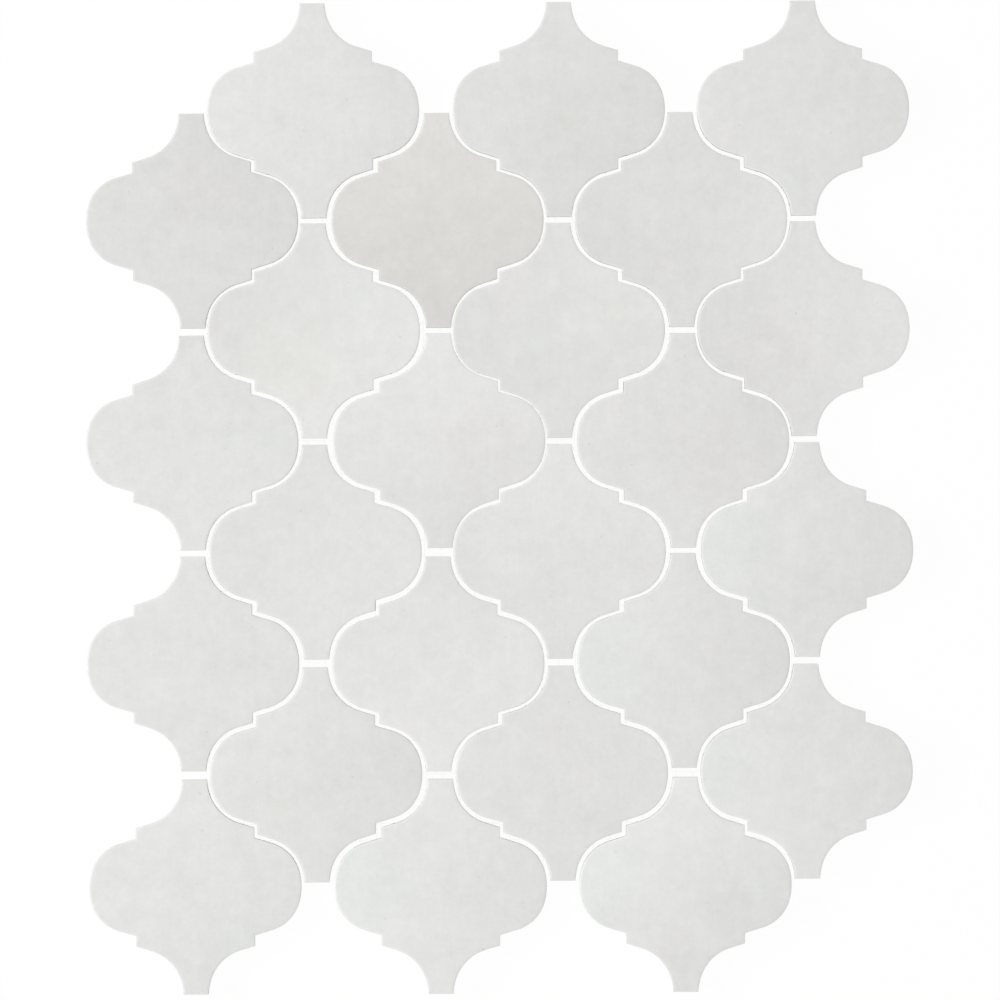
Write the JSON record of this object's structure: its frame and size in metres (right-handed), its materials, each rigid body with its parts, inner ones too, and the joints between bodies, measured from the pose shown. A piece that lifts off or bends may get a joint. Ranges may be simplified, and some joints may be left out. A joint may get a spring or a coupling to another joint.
{
  "type": "arabesque mosaic tile sheet",
  "caption": "Sheet of lantern-shaped glazed ceramic mosaic tiles in staggered interlocking rows, held on a glass-fibre net for bonding to walls and floors.",
  "frame": {"origin": "middle of the sheet's outline, on the underside of the net", "axes": "the sheet lies face up: +X runs along its rows, +Y runs up its columns to row 1, +Z points out of the glazed face"},
  "size_m": [0.248, 0.2972, 0.0085],
  "materials": {
    "glaze": "off-white satin glaze on a pale fired clay body",
    "net": "white coated glass-fibre net"
  },
  "bodies": {
    "root": {"tile_row1_col1": "glaze", "tile_row1_col2": "glaze", "tile_row1_col3": "glaze", "tile_row2_col1": "glaze", "tile_row2_col2": "glaze", "tile_row2_col3": "glaze", "tile_row3_col1": "glaze", "tile_row3_col2": "glaze", "tile_row3_col3": "glaze", "tile_row4_col1": "glaze", "tile_row4_col2": "glaze", "tile_row4_col3": "glaze", "tile_row5_col1": "glaze", "tile_row5_col2": "glaze", "tile_row5_col3": "glaze", "tile_row6_col1": "glaze", "tile_row6_col2": "glaze", "tile_row6_col3": "glaze", "tile_row7_col1": "glaze", "tile_row7_col2": "glaze", "tile_row7_col3": "glaze", "tile_row8_col1": "glaze", "tile_row8_col2": "glaze", "tile_row8_col3": "glaze", "backing_net": "net"}
  },
  "joints": []
}
